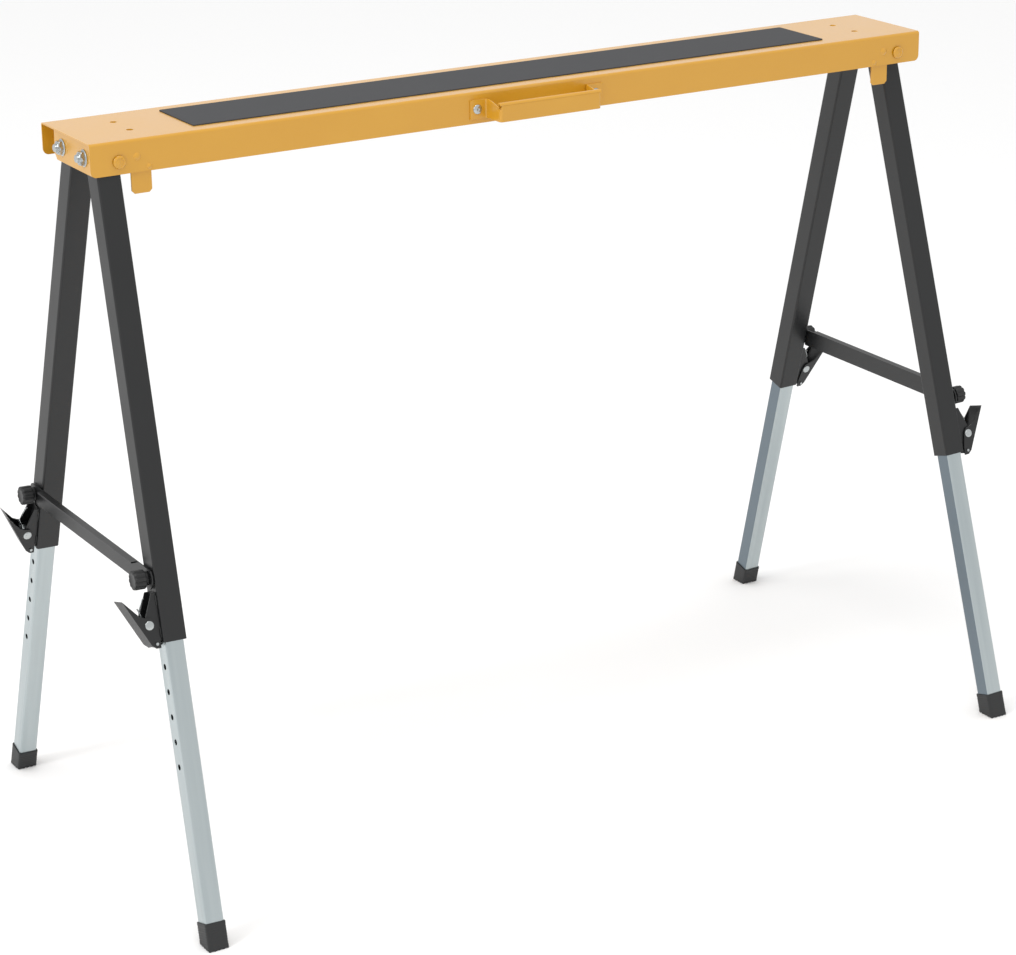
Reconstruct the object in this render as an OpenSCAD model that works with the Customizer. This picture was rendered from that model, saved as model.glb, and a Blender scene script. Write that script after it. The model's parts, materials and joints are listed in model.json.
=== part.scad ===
// Folding trestle with four telescopic legs.
// Frame: millimetres, +Z up, +X along the beam, origin on the floor under the middle of the beam.
// The right end is the left end turned half a turn about Z, so one set of modules makes both.

/* [Beam] */
// Length of the channel beam
beam_len = 1000; // [900:10:1200]
// Width of the beam over its flanges
beam_w = 120; // [118:1:130]
// Depth of the flanges
beam_h = 33; // [30:1:40]
// Height of the beam's top above the floor at rest
beam_top = 766; // [740:1:800]
// Thickness of the beam's sheet steel
sheet = 1.5; // [1.2:0.1:1.5]
// Outside radius of the two long bends
bend_r = 3; // [2.5:0.5:4]
// Length of the rubber top mat
mat_len = 763; // [600:1:780]
// Width of the rubber top mat
mat_w = 82; // [60:1:100]

/* [Handle] */
// Distance between the handle's two arms
handle_span = 122; // [100:1:140]
// How far the grip stands out from the flange
handle_reach = 30; // [25:1:40]
// Height of the handle's strap
handle_h = 20; // [16:1:22]

/* [Legs] */
// Outside width of the square upper tube
outer_w = 25; // [24:0.5:25]
// Outside width of the square lower tube
inner_w = 20; // [18:0.5:20]
// Length of the upper tube below its bolt
outer_len = 475; // [470:1:490]
// Angle of each leg from the middle plane
spread = 16.5; // [14:0.5:16.5]
// Outward lean of each pair of legs along the beam
splay = 1.7; // [1:0.1:2]
// Distance between the height holes in the lower tube
hole_pitch = 25; // [20:1:30]
// Number of height holes in the lower tube
hole_count = 8; // [5:1:8]

/* [Latches and brace] */
// Distance of the latch rivet below the leg's bolt
rivet_drop = 456; // [450:1:460]
// Distance of the brace stud below the leg's bolt
stud_drop = 411; // [405:1:412]
// Height of the brace's web
brace_h = 20; // [16:1:20]
// Diameter of the clamping knobs
knob_d = 20; // [16:1:22]

/* [Hidden] */
$fn = 48;
NEAR = -1;
FAR = 1;
ENDS = ["left", "right"];
// Each leg: its name, its end, and whether it hangs near its own end's close flange or far from it
LEGS = [["left_front", 0, NEAR], ["left_back", 0, FAR], ["right_front", 1, FAR], ["right_back", 1, NEAR]];
LEG_PARTS = ["outer_leg", "inner_leg", "foot", "latch_housing", "latch_lever", "latch_rivet",
             "latch_spring", "lock_pin", "brace_stud", "brace_knob"];
END_PARTS = ["fold_bracket", "fold_pins", "spread_bolts", "spread_nuts", "front_lock_plate",
             "back_lock_plate", "lock_rivets", "brace"];
BEAM_PARTS = ["beam", "top_mat", "handle", "handle_rivets"];

YELLOW = "#f0a630";
BLACK = "#2b2c2e";
ZINC = "#c9d0d2";
RUBBER = "#3a3b3d";

// Beam
flange_y = beam_w / 2;
inner_y = flange_y - sheet;
flange_low = beam_top - beam_h;
flange_corner_r = 6;
mat_t = 1.2;
top_hole_x = 440;
top_hole_y = 20;
top_hole_r = 3.5;
dome_h = 2.2;

// Fold joint: its axis runs across the beam
fold_x = 470;
fold_z = 745.5;
fold_r = 3;
running = 0.05;
ear_t = 1.6;
ear_gap = 0.3;
far_ear_y = 32;
plate_x = -26;
plate_t = 2;
plate_high = 17.5;
plate_low = -12;
near_ear_low = -5.5;

// Spread joint: bolts along the beam, in the fold bracket's frame
leg_pitch = 54;
leg_mid_y = -13.5;
leg_x = -10;
bolt_z = 3;
bolt_r = 4;
bolt_head_r = 8;
nut_r = 7.5;

// Lock plates: they pivot on the flanges just inboard of the legs
lock_x = 19;
lock_z = 3;
lock_r = 2.5;
lock_boss_r = 5;
dimple_x = 31.6;
dimple_z = -8;

// Tubes
outer_t = 1.2;
inner_t = 1;
tube_r = 2.2;
outer_above = 12;
leg_face = outer_w / 2;
pin_drop = 475;
inner_top = 345;
hole_r = 3;
foot_w = 22.5;
foot_h = 25;
foot_floor = 6;
leg_reach = (fold_z + bolt_z) / cos(spread);

// Latch: measured from its rivet, with -x away from the tube
rivet_out = 11.5;
rivet_r = 2.5;
housing_cheek = 9;
housing_t = 1.5;
lever_in = 9.3;
lever_out = 10.8;
lever_t = 1.5;
rivet_end = 12.2;
pin_r = 2.5;
pin_rivet_r = 1.5;
pin_z = rivet_drop - pin_drop;
spring_r = 4.3;
wire_r = 0.7;
lever_tip = [-25, 27.5];
lever_toe = [-0.5, -19.6];
pin_x = 5;

// Brace and knobs
stud_r = 3;
brace_gap = 1.5;
brace_t = 1.5;
brace_end = 12;
brace_lip = 6;
knob_gap = 3.6;
knob_len = 15;
knob_flutes = 10;
brace_span = leg_pitch + 2 * stud_drop * sin(spread);

// ---- frames ----

// One end's fold axis: origin on the axis, -x outward along the beam
module end_frame(e) {
    rotate([0, 0, 180 * e]) translate([-fold_x, 0, fold_z]) children();
}

// The fold bracket, leaning outward with its legs
module bracket_frame(e) {
    end_frame(e) rotate([0, splay, 0]) children();
}

// One leg: origin on its bolt, -z down the leg, -x outward along the beam
module leg_frame(leg) {
    bracket_frame(leg[1])
        translate([leg_x, leg_y(leg[2]), bolt_z])
            rotate([leg[2] * spread, 0, 0]) children();
}

// One leg's latch: origin on its rivet
module latch_frame(leg) {
    leg_frame(leg) translate([-leg_face - rivet_out, 0, -rivet_drop]) children();
}

function leg_y(place) = leg_mid_y + place * leg_pitch / 2;

// ---- shared shapes ----

module rounded_square(w, r) {
    square([w, w - 2 * r], center = true);
    square([w - 2 * r, w], center = true);
    for (sx = [-1, 1], sy = [-1, 1])
        translate([sx * (w / 2 - r), sy * (w / 2 - r)]) circle(r);
}

// Square tube from z = low to z = high
module square_tube(w, wall, r, low, high) {
    translate([0, 0, low])
        linear_extrude(high - low)
            difference() {
                rounded_square(w, r);
                rounded_square(w - 2 * wall, r - wall);
            }
}

// Plate in the XZ plane from y = y0 to y = y0 + t
module side_plate(y0, t) {
    translate([0, y0 + t, 0]) rotate([90, 0, 0]) linear_extrude(t) children();
}

// Cylinder along X from x0 to x1
module rod_x(r, x0, x1) {
    translate([x0, 0, 0]) rotate([0, 90, 0]) cylinder(r = r, h = x1 - x0);
}

// Cylinder along Y from y0 to y1
module rod_y(r, y0, y1) {
    translate([0, y1, 0]) rotate([90, 0, 0]) cylinder(r = r, h = y1 - y0);
}

// Domed rivet head standing on z = 0
module dome(r, h) {
    ball = (r * r + h * h) / (2 * h);
    rotate_extrude()
        intersection() {
            translate([0, h - ball]) circle(ball, $fn = 96);
            square([r, h]);
        }
}

// Dome on the outer face of the flange at side = -1 or 1
module flange_dome(side, r, h) {
    translate([0, side * flange_y, 0]) rotate([-90 * side, 0, 0]) dome(r, h);
}

// ---- beam ----

module channel_section(w, h, r) {
    translate([-w / 2, -h]) square([w, h - r]);
    translate([-w / 2 + r, -h]) square([w - 2 * r, h]);
    for (s = [-1, 1]) translate([s * (w / 2 - r), -r]) circle(r);
}

module flange_outline() {
    r = flange_corner_r;
    translate([-beam_len / 2, flange_low + r]) square([beam_len, beam_h - r]);
    translate([-beam_len / 2 + r, flange_low]) square([beam_len - 2 * r, beam_h]);
    for (s = [-1, 1]) translate([s * (beam_len / 2 - r), flange_low + r]) circle(r);
}

module beam() {
    color(YELLOW) {
        difference() {
            intersection() {
                translate([-beam_len / 2, 0, beam_top])
                    rotate([90, 0, 90])
                        linear_extrude(beam_len)
                            difference() {
                                channel_section(beam_w, beam_h, bend_r);
                                translate([0, -sheet])
                                    channel_section(beam_w - 2 * sheet, beam_h, bend_r - sheet);
                            }
                side_plate(-beam_w, 2 * beam_w) flange_outline();
            }
            for (sx = [-1, 1], sy = [-1, 1])
                translate([sx * top_hole_x, sy * top_hole_y, beam_top - 2 * sheet])
                    cylinder(r = top_hole_r, h = 3 * sheet);
            for (e = [0, 1]) {
                end_frame(e) rod_y(fold_r, -beam_w, beam_w);
                end_frame(e) translate([lock_x, 0, lock_z]) rod_y(lock_r, -beam_w, beam_w);
            }
            for (s = [-1, 1]) handle_rivet_place(s) rod_y(rivet_r, -beam_w, 0);
        }
        // Pressed dimples beside each lock plate's rivet
        for (e = [0, 1], side = [-1, 1])
            end_frame(e) translate([dimple_x, 0, dimple_z]) flange_dome(side, 3, 1.4);
    }
}

module top_mat() {
    color(RUBBER)
        translate([0, 0, beam_top])
            linear_extrude(mat_t) square([mat_len, mat_w], center = true);
}

// ---- carrying handle ----

handle_mid_z = beam_top - 18;
handle_rivet_x = handle_span / 2 + 10.5;
handle_ear_x = handle_span / 2 + 19;
grip_curl_r = 3;

module handle_rivet_place(s) {
    translate([s * handle_rivet_x, 0, handle_mid_z]) children();
}

// The strap seen from above: ears on the flange, arms out, grip across
module handle_plan() {
    back = -flange_y;
    front = back - handle_reach;
    for (s = [-1, 1]) {
        translate([s > 0 ? handle_span / 2 - sheet : -handle_ear_x, back - sheet])
            square([handle_ear_x - handle_span / 2 + sheet, sheet]);
        translate([s > 0 ? handle_span / 2 - sheet : -handle_span / 2, front])
            square([sheet, handle_reach]);
    }
    translate([-handle_span / 2, front]) square([handle_span, sheet]);
}

module handle() {
    low = handle_mid_z - handle_h / 2;
    front = -flange_y - handle_reach;
    curl_z = low + handle_h - grip_curl_r;
    curl_y = front + grip_curl_r;
    color(YELLOW) {
        difference() {
            translate([0, 0, low]) linear_extrude(handle_h) handle_plan();
            for (s = [-1, 1]) handle_rivet_place(s) rod_y(rivet_r, -2 * beam_w, 0);
            translate([-beam_w, curl_y - 2 * grip_curl_r, curl_z]) cube([2 * beam_w, 2 * grip_curl_r, beam_h]);
        }
        // Rolled upper edge of the grip, half a turn of sheet curled back over the hand
        translate([-handle_span / 2, curl_y, curl_z])
            rotate([90, 0, 90])
                linear_extrude(handle_span)
                    difference() {
                        circle(grip_curl_r);
                        circle(grip_curl_r - sheet);
                        translate([-2 * grip_curl_r, -2 * grip_curl_r])
                            square([4 * grip_curl_r, 2 * grip_curl_r]);
                    }
    }
}

module handle_rivets() {
    color(ZINC)
        for (s = [-1, 1]) handle_rivet_place(s) {
            rod_y(rivet_r, -flange_y - sheet, -inner_y);
            translate([0, -sheet, 0]) flange_dome(-1, 5, 1.8);
        }
}

// ---- fold brackets, pins and lock plates ----

module near_ear_outline() {
    translate([plate_x - plate_t, near_ear_low]) square([-plate_x + plate_t, plate_high - near_ear_low]);
    circle(6);
}

module far_ear_outline() {
    translate([plate_x - plate_t, plate_low]) square([-plate_x + plate_t, plate_high - plate_low]);
    circle(8);
}

// End plate with two ears that turn on the fold pins
module fold_bracket(e) {
    near_y = -inner_y + ear_gap;
    far_y = far_ear_y + ear_t;
    chamfer = 9;
    color(YELLOW)
        bracket_frame(e)
            difference() {
                union() {
                    translate([plate_x - plate_t, near_y, plate_low])
                        cube([plate_t, far_y - near_y, plate_high - plate_low]);
                    side_plate(near_y, ear_t) near_ear_outline();
                    side_plate(far_ear_y, ear_t) far_ear_outline();
                }
                rod_y(fold_r + running, -beam_w, beam_w);
                for (place = [NEAR, FAR])
                    translate([0, leg_y(place), bolt_z]) rod_x(bolt_r, 2 * plate_x, 0);
                translate([plate_x - 2 * plate_t, far_y, plate_low])
                    rotate([45, 0, 0]) cube([4 * plate_t, chamfer, chamfer], center = true);
            }
}

// Short pin at the near flange, long shouldered pin at the far one, both riveted over
module fold_pins(e) {
    head_r = 6.5;
    shoulder_r = 5;
    color(YELLOW)
        end_frame(e) {
            rod_y(fold_r, -flange_y, -inner_y + ear_gap + ear_t);
            rod_y(fold_r, far_ear_y, flange_y);
            rod_y(shoulder_r, far_ear_y + ear_t + ear_gap, inner_y);
            for (side = [-1, 1]) flange_dome(side, head_r, dome_h);
        }
}

module spread_bolts(e) {
    head_t = 2.5;
    head_x = leg_x + leg_face + ear_gap;
    color(ZINC)
        bracket_frame(e)
            for (place = [NEAR, FAR])
                translate([0, leg_y(place), bolt_z]) {
                    rod_x(bolt_r, plate_x - 11, head_x + 0.5);
                    rod_x(bolt_head_r, head_x, head_x + head_t);
                }
}

// Flanged lock nuts outside the end plate
module spread_nuts(e) {
    flange_t = 1.5;
    nut_t = 6.5;
    color(ZINC)
        bracket_frame(e)
            for (place = [NEAR, FAR])
                translate([plate_x - plate_t, leg_y(place), bolt_z])
                    rotate([0, -90, 0])
                        difference() {
                            union() {
                                cylinder(r = nut_r + 1, h = flange_t);
                                cylinder(r = nut_r, h = nut_t, $fn = 6);
                            }
                            translate([0, 0, -1]) cylinder(r = bolt_r, h = nut_t + 2);
                        }
}

// Outline of a lock plate about its rivet
module lock_outline() {
    left = -6.5;
    right = 15;
    neck = -15;
    low = -37;
    nose_r = 3;
    circle(lock_boss_r);
    polygon([[-lock_boss_r, 0], [lock_boss_r, 0], [right, neck], [right, low + nose_r],
             [right - nose_r, low], [left + nose_r, low], [left, low + nose_r], [left, neck]]);
}

// A plate just inside the flange at side = -1 or 1, hanging below its edge
module lock_plate(e, side) {
    y0 = side < 0 ? -inner_y + ear_gap : inner_y - ear_gap - ear_t;
    color(YELLOW)
        end_frame(e)
            translate([lock_x, 0, lock_z])
                difference() {
                    side_plate(y0, ear_t) lock_outline();
                    rod_y(lock_r + running, -beam_w, beam_w);
                }
}

module lock_rivets(e) {
    reach = inner_y - ear_gap - ear_t;
    color(YELLOW)
        end_frame(e)
            translate([lock_x, 0, lock_z])
                for (side = [-1, 1]) {
                    rod_y(lock_r, side < 0 ? -flange_y : reach, side < 0 ? -reach : flange_y);
                    flange_dome(side, 4, 1.6);
                }
}

// ---- legs ----

module outer_leg(leg) {
    notch = pin_r + 0.4;
    color(BLACK)
        leg_frame(leg)
            difference() {
                square_tube(outer_w, outer_t, tube_r, -outer_len, outer_above);
                rod_x(bolt_r + running, -outer_w, outer_w);
                translate([0, 0, -stud_drop]) rod_x(stud_r, -outer_w, 0);
                latch_notch(notch);
            }
}

// Notch for the lock pin, open at the tube's lower end
module latch_notch(r) {
    translate([0, 0, -pin_drop]) rod_x(r, -outer_w, 0);
    translate([-outer_w, -r, -pin_drop - 2 * foot_w]) cube([outer_w, 2 * r, 2 * foot_w]);
}

module inner_leg(leg) {
    color(ZINC)
        leg_frame(leg)
            difference() {
                square_tube(inner_w, inner_t, tube_r, -leg_reach + foot_floor, -inner_top);
                for (k = [0:hole_count - 1])
                    translate([0, 0, -pin_drop + (2 - k) * hole_pitch]) rod_x(hole_r, -inner_w, 0);
            }
}

// Rubber shoe with its sole cut level with the floor
module foot(leg) {
    color(RUBBER)
        difference() {
            leg_frame(leg)
                difference() {
                    translate([0, 0, -leg_reach - foot_floor])
                        linear_extrude(foot_h + foot_floor) rounded_square(foot_w, tube_r);
                    translate([0, 0, -leg_reach + foot_floor])
                        linear_extrude(foot_h) rounded_square(inner_w, tube_r);
                }
            translate([-beam_len, -beam_len, -beam_len]) cube([2 * beam_len, 2 * beam_len, beam_len]);
        }
}

// ---- latches ----

// Folded housing welded to the outer face of the upper tube
module latch_housing(leg) {
    web = 1.2;
    top = 31;
    bottom = -17;
    color(BLACK)
        leg_frame(leg)
            difference() {
                translate([-leg_face, 0, -rivet_drop])
                    difference() {
                        union() {
                            translate([-web, -housing_cheek, bottom])
                                cube([web, 2 * housing_cheek, top - bottom]);
                            for (s = [-1, 1])
                                side_plate(s > 0 ? housing_cheek - housing_t : -housing_cheek, housing_t)
                                    polygon([[0, top], [-4.5, top], [-13, 10], [-16.5, 2], [-15, -5],
                                             [0, bottom]]);
                        }
                        translate([-rivet_out, 0, 0]) rod_y(rivet_r, -beam_w, beam_w);
                    }
                latch_notch(pin_r + 0.4);
            }
}

// Side outline of the lever about its rivet: long thumb arm up and out, nose down at the tube
module lever_outline() {
    polygon([lever_tip, lever_toe, [4, -23.5], [9, -23.5], [9, -15], [5.5, 2], [2, 7], [-4, 8],
             [-9.5, 10.6]]);
}

// Everything inward of the lever's outer edge by the thickness of its web
module lever_pocket() {
    run = lever_toe - lever_tip;
    long = norm(run);
    translate(lever_tip)
        rotate(atan2(run[1], run[0]))
            translate([-long, lever_t]) square([3 * long, 2 * long]);
}

module latch_lever(leg) {
    block_w = 5;
    block_h = 6;
    block_y = lever_in + lever_t / 2;
    color(BLACK)
        latch_frame(leg)
            difference() {
                union() {
                    difference() {
                        side_plate(-lever_out, 2 * lever_out) lever_outline();
                        side_plate(-lever_in, 2 * lever_in) lever_pocket();
                    }
                    translate([pin_x - block_w / 2, -block_y, pin_z - block_h / 2])
                        cube([block_w, 2 * block_y, block_h]);
                }
                rod_y(rivet_r + running, -beam_w, beam_w);
                translate([0, 0, pin_z]) rod_x(pin_r, pin_x - block_w / 2, beam_w);
                translate([pin_x, 0, pin_z]) rod_y(pin_rivet_r, -beam_w, beam_w);
            }
}

module latch_rivet(leg) {
    color(ZINC)
        latch_frame(leg) {
            rod_y(rivet_r, -rivet_end, rivet_end);
            for (s = [-1, 1])
                rod_y(4.6, s > 0 ? lever_out + 0.1 : -rivet_end, s > 0 ? rivet_end : -lever_out - 0.1);
        }
}

// Torsion spring: closed turns round the rivet and two arms
module latch_spring(leg) {
    turns = 5;
    pitch = 1.6;
    color(ZINC)
        latch_frame(leg) {
            for (k = [0:turns - 1])
                translate([0, (k - (turns - 1) / 2) * pitch, 0])
                    rotate([90, 0, 0])
                        rotate_extrude() translate([spring_r, 0]) circle(wire_r, $fn = 24);
            spring_arm(-turns * pitch / 2 - wire_r, -12, 20);
            spring_arm(turns * pitch / 2 + wire_r, 14, 28);
        }
}

// Straight arm of the spring rising beside one end of the coil
module spring_arm(y, lean, rise) {
    translate([-spring_r, y, 0]) rotate([0, lean, 0]) cylinder(r = wire_r, h = rise, $fn = 24);
}

// Pin that drops into the lower tube's holes, on its cross rivet
module lock_pin(leg) {
    tail = 2.5;
    tip = rivet_out + 1;
    color(ZINC)
        latch_frame(leg)
            translate([0, 0, pin_z]) {
                rod_x(pin_r, pin_x - tail, tip);
                translate([pin_x, 0, 0]) rod_y(pin_rivet_r, -rivet_end, rivet_end);
            }
}

// ---- brace and knobs ----

module brace_stud(leg) {
    color(ZINC)
        leg_frame(leg)
            translate([0, 0, -stud_drop])
                rod_x(stud_r, -leg_face - knob_gap - knob_len + 3, -leg_face + outer_t);
}

// Fluted clamping knob with a blind bore
module brace_knob(leg) {
    r = knob_d / 2;
    color(BLACK)
        leg_frame(leg)
            translate([-leg_face - knob_gap, 0, -stud_drop])
                rotate([0, -90, 0])
                    difference() {
                        union() {
                            cylinder(r = 0.72 * r, h = 4);
                            translate([0, 0, 3])
                                linear_extrude(knob_len - 3)
                                    difference() {
                                        circle(r);
                                        for (k = [0:knob_flutes - 1])
                                            rotate(k * 360 / knob_flutes)
                                                translate([r + 0.6, 0]) circle(1.8, $fn = 24);
                                    }
                        }
                        translate([0, 0, -1]) cylinder(r = stud_r + running, h = knob_len - 1.5);
                    }
}

// Brace in its own frame: pivot at the origin, web along +y
module brace_body() {
    x1 = -brace_gap;
    x0 = x1 - brace_t;
    hook_lean = 27.5;
    slot_r = stud_r + 0.5;
    seat_r = stud_r + 0.8;
    difference() {
        union() {
            translate([x0, 0, -brace_h / 2]) cube([brace_t, brace_span, brace_h]);
            for (y = [0, brace_span])
                translate([0, y, 0])
                    intersection() {
                        rod_x(brace_end, x0, x1);
                        translate([x0, -brace_end, -brace_h / 2]) cube([brace_t, 2 * brace_end, brace_h]);
                    }
            translate([x0 - brace_lip, 2 * brace_end, brace_h / 2 - brace_t])
                cube([brace_lip + brace_t, brace_span - 4 * brace_end, brace_t]);
        }
        rod_x(stud_r + running, -outer_w, 0);
        // Open hook for the other leg's stud
        translate([0, brace_span, 0]) {
            rod_x(seat_r, -outer_w, 0);
            rotate([-hook_lean, 0, 0])
                translate([-outer_w, -slot_r, -brace_h]) cube([outer_w, 2 * slot_r, brace_h]);
        }
    }
}

// The brace turns on the front leg of its pair and hooks over the back one
module brace(e) {
    place = e == 0 ? NEAR : FAR;
    color(BLACK)
        bracket_frame(e)
            translate([leg_x - leg_face, leg_y(place) + place * stud_drop * sin(spread),
                       bolt_z - stud_drop * cos(spread)])
                mirror([0, e, 0]) brace_body();
}

// ---- assembly ----

beam();
top_mat();
handle();
handle_rivets();

for (e = [0, 1]) {
    fold_bracket(e);
    fold_pins(e);
    spread_bolts(e);
    spread_nuts(e);
    lock_plate(e, e == 0 ? -1 : 1);
    lock_plate(e, e == 0 ? 1 : -1);
    lock_rivets(e);
    brace(e);
}

for (leg = LEGS) {
    outer_leg(leg);
    inner_leg(leg);
    foot(leg);
    latch_housing(leg);
    latch_lever(leg);
    latch_rivet(leg);
    latch_spring(leg);
    lock_pin(leg);
    brace_stud(leg);
    brace_knob(leg);
}
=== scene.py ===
"""Looks of a folding trestle: powder-coated channel beam, telescopic tube legs, spring latches and braces.

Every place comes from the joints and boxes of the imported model. Shapes are worked out in millimetres in small
local frames and written to the mesh in metres, in the row's own frame.
"""

import json
import logging
import math
from collections.abc import Callable, Iterable
from dataclasses import dataclass, field
from enum import Enum

import bmesh
import bpy
import numpy as np
from mathutils import Matrix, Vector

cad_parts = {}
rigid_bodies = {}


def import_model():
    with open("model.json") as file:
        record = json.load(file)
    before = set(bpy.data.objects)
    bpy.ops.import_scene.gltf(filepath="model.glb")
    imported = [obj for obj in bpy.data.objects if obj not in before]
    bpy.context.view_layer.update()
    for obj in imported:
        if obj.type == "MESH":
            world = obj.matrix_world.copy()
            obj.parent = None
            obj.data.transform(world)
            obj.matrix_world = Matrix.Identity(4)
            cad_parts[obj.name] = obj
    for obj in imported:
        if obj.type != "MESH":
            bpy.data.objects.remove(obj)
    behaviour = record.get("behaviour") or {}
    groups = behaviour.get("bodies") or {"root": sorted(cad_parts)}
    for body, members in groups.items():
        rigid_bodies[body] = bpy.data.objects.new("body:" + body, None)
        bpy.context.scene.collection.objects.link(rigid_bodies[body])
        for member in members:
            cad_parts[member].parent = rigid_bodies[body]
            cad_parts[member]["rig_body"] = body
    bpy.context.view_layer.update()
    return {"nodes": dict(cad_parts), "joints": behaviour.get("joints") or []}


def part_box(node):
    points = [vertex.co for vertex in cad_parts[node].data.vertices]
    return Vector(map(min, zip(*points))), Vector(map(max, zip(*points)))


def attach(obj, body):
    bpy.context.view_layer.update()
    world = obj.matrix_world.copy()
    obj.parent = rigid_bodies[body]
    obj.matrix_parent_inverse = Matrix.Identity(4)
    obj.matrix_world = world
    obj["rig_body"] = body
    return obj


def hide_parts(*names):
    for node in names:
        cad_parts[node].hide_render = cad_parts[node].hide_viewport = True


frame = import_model()

log = logging.getLogger("trestle")

# Radius and height of each ring of a turned shape, in millimetres.
Profile = tuple[tuple[float, float], ...]
# Takes the radius, height and angle of every ring point, and returns the changed radius and height.
RingShape = Callable[[np.ndarray, np.ndarray, np.ndarray], tuple[np.ndarray, np.ndarray]]

MM = 0.001
ENDS = ("left", "right")
LEGS = ("left_front", "left_back", "right_front", "right_back")


class Slot(Enum):
    """The record's material slots."""

    YELLOW = "yellow_enamel"
    BLACK = "black_enamel"
    ZINC = "zinc_plate"
    MAT = "mat_rubber"
    SHOE = "foot_rubber"
    KNOB = "knob_plastic"


# ---- local frames ----


@dataclass(frozen=True)
class Axes:
    """A right-handed local frame, with its origin in metres and unit axes."""

    origin: np.ndarray
    x: np.ndarray
    y: np.ndarray
    z: np.ndarray

    def place(self, points: np.ndarray) -> np.ndarray:
        """Moves local points into the row's frame.

        Args:
            points: Local coordinates in millimetres, with 3 as the last dimension.

        Returns:
            The same points in metres in the row's frame.
        """
        return self.origin + MM * (np.asarray(points, float) @ np.stack([self.x, self.y, self.z]))

    def moved(self, x: float = 0.0, y: float = 0.0, z: float = 0.0) -> "Axes":
        """Returns the same frame with its origin moved by local millimetres."""
        return Axes(self.place(np.array([x, y, z])), self.x, self.y, self.z)


def unit(v: Iterable[float]) -> np.ndarray:
    """Returns v at length one."""
    v = np.asarray(list(v), float)
    return v / np.linalg.norm(v)


def along(origin: Iterable[float], direction: Iterable[float], side: Iterable[float]) -> Axes:
    """Makes a frame whose z runs along a direction.

    Args:
        origin: Where the frame stands, in metres.
        direction: Where its z axis points.
        side: A direction that isn't parallel to it, near which x lies.

    Returns:
        The frame.
    """
    z = unit(direction)
    y = unit(np.cross(z, unit(side)))
    return Axes(np.asarray(list(origin), float), np.cross(y, z), y, z)


def joint(name: str) -> dict:
    """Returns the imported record's joint of that name."""
    return next(j for j in frame["joints"] if j["name"] == name)


def leg_axes(leg: str) -> Axes:
    """Finds a leg's frame: origin on its bolt, -z down the leg, -x outward along the beam."""
    down = unit(joint(f"{leg}_height")["axis"])
    return along(joint(f"{leg}_spread")["pos_m"], -down, -unit(joint(f"{leg}_knob_turn")["axis"]))


# ---- skins: points and faces worked out as whole arrays ----


@dataclass
class Skin:
    """Points in metres and the faces that join them."""

    points: np.ndarray = field(default_factory=lambda: np.zeros((0, 3)))
    faces: list = field(default_factory=list)

    def add(self, points: np.ndarray, faces: Iterable[np.ndarray]) -> "Skin":
        """Adds one more surface.

        Args:
            points: Its points, with 3 as the last dimension.
            faces: Arrays of point indices, one row for each face.

        Returns:
            This skin.
        """
        base = len(self.points)
        self.points = np.vstack([self.points, np.asarray(points, float).reshape(-1, 3)])
        for rows in faces:
            self.faces += (rows + base).tolist()
        return self

    def loft(self, rings: np.ndarray) -> "Skin":
        """Skins a row of closed rings and closes both ends with fans to their middles.

        Args:
            rings: Points of shape (rings, around, 3) in metres.

        Returns:
            This skin.
        """
        count, around = rings.shape[:2]
        here = np.arange(around)
        after = np.roll(here, -1)
        rows = np.arange(count - 1)[:, None] * around
        sides = np.stack([rows + here, rows + after, rows + around + after, rows + around + here], -1)
        ends = []
        for ring, middle in ((0, count * around), (count - 1, count * around + 1)):
            ends.append(np.stack([ring * around + here, ring * around + after, np.full(around, middle)], -1))
        middles = rings[[0, -1]].mean(1)
        points = np.vstack([rings.reshape(-1, 3), middles])
        return self.add(points, [sides.reshape(-1, 4), *ends])

    def slab(self, upper: np.ndarray, lower: np.ndarray) -> "Skin":
        """Skins the space between two grids of points, such as the two faces of a bent sheet.

        Args:
            upper: Points of one face, of shape (n, m, 3), in metres.
            lower: The matching points of the other face.

        Returns:
            This skin.
        """
        n, m = upper.shape[:2]
        index = np.arange(n * m).reshape(n, m)
        faces = []
        for shift in (0, n * m):
            grid = index + shift
            quads = np.stack([grid[:-1, :-1], grid[:-1, 1:], grid[1:, 1:], grid[1:, :-1]], -1)
            faces.append(quads.reshape(-1, 4))
        rim = np.concatenate([index[0, :-1], index[:-1, -1], index[-1, :0:-1], index[:0:-1, 0]])
        nxt = np.roll(rim, -1)
        faces.append(np.stack([rim, nxt, nxt + n * m, rim + n * m], -1))
        return self.add(np.concatenate([upper.reshape(-1, 3), lower.reshape(-1, 3)]), faces)

    def mesh(self, name: str, sharp_deg: float = 35.0) -> bpy.types.Mesh:
        """Writes the skin to a mesh with its faces outward and its sharp edges marked.

        Args:
            name: The mesh's name.
            sharp_deg: Edges that turn more than this stay sharp.

        Returns:
            The mesh.
        """
        made = bpy.data.meshes.new(name)
        made.from_pydata(self.points.tolist(), [], self.faces)
        form = bmesh.new()
        form.from_mesh(made)
        bmesh.ops.remove_doubles(form, verts=form.verts, dist=1e-7)
        bmesh.ops.recalc_face_normals(form, faces=form.faces)
        form.to_mesh(made)
        form.free()
        made.shade_smooth()
        made.set_sharp_from_angle(angle=math.radians(sharp_deg))
        return made


def turn(around: int) -> np.ndarray:
    """Returns that many angles over one turn."""
    return np.linspace(0, 2 * np.pi, around, endpoint=False)


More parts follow.
